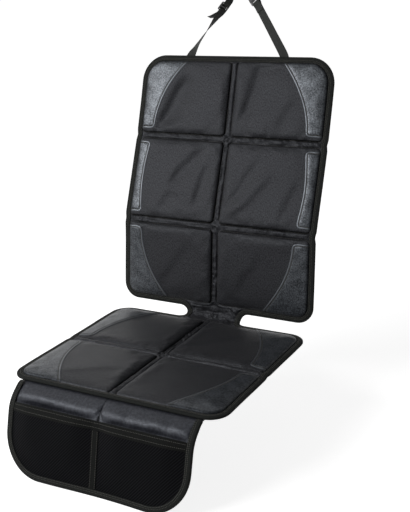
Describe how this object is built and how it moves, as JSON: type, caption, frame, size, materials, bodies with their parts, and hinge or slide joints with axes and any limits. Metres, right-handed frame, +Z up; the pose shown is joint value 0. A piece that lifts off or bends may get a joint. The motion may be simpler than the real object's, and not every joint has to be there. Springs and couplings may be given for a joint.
{
  "type": "car seat protector mat",
  "caption": "Quilted mat that covers a car seat's base and backrest, with grey wear patches, a net pocket flap and straps that clip round the headrest.",
  "frame": {"origin": "centre of the seat part's flat underside, where its quilting creases cross", "axes": "+Z up, off the vehicle seat; +X across the mat to the right of someone facing it; -Y to the front edge and the flap, +Y to the backrest"},
  "size_m": [0.4828, 0.7466, 0.9679],
  "materials": {
    "black_oxford_cloth": "matte",
    "anti_slip_cloth": "matte",
    "grey_foam": "matte",
    "black_edge_tape": "matte",
    "grey_grained_leather": "satin",
    "black_satin_cloth": "satin",
    "black_pocket_net": "matte",
    "black_webbing": "matte",
    "black_buckle_plastic": "satin"
  },
  "bodies": {
    "root": {"anti_slip_backing": "anti_slip_cloth", "buckle_prongs": "black_buckle_plastic", "buckle_socket": "black_buckle_plastic", "edge_binding": "black_edge_tape", "flap_binding": "black_edge_tape", "flap_panel": "black_satin_cloth", "foam_pad_backrest_low_left": "grey_foam", "foam_pad_backrest_low_right": "grey_foam", "foam_pad_backrest_middle_left": "grey_foam", "foam_pad_backrest_middle_right": "grey_foam", "foam_pad_backrest_top_left": "grey_foam", "foam_pad_backrest_top_right": "grey_foam", "foam_pad_seat_front_left": "grey_foam", "foam_pad_seat_front_right": "grey_foam", "foam_pad_seat_rear_left": "grey_foam", "foam_pad_seat_rear_right": "grey_foam", "front_cover": "black_oxford_cloth", "patch_backrest_low_left": "grey_grained_leather", "patch_backrest_low_right": "grey_grained_leather", "patch_backrest_middle_left": "grey_grained_leather", "patch_backrest_middle_right": "grey_grained_leather", "patch_backrest_top_left": "grey_grained_leather", "patch_backrest_top_right": "grey_grained_leather", "patch_seat_front_left": "grey_grained_leather", "patch_seat_front_right": "grey_grained_leather", "patch_seat_rear_left": "grey_grained_leather", "patch_seat_rear_right": "grey_grained_leather", "pocket_divider_tape": "black_edge_tape", "pocket_hem_tape": "black_edge_tape", "pocket_net": "black_pocket_net", "strap_left": "black_webbing", "strap_right": "black_webbing", "strap_slider": "black_buckle_plastic"}
  },
  "joints": []
}
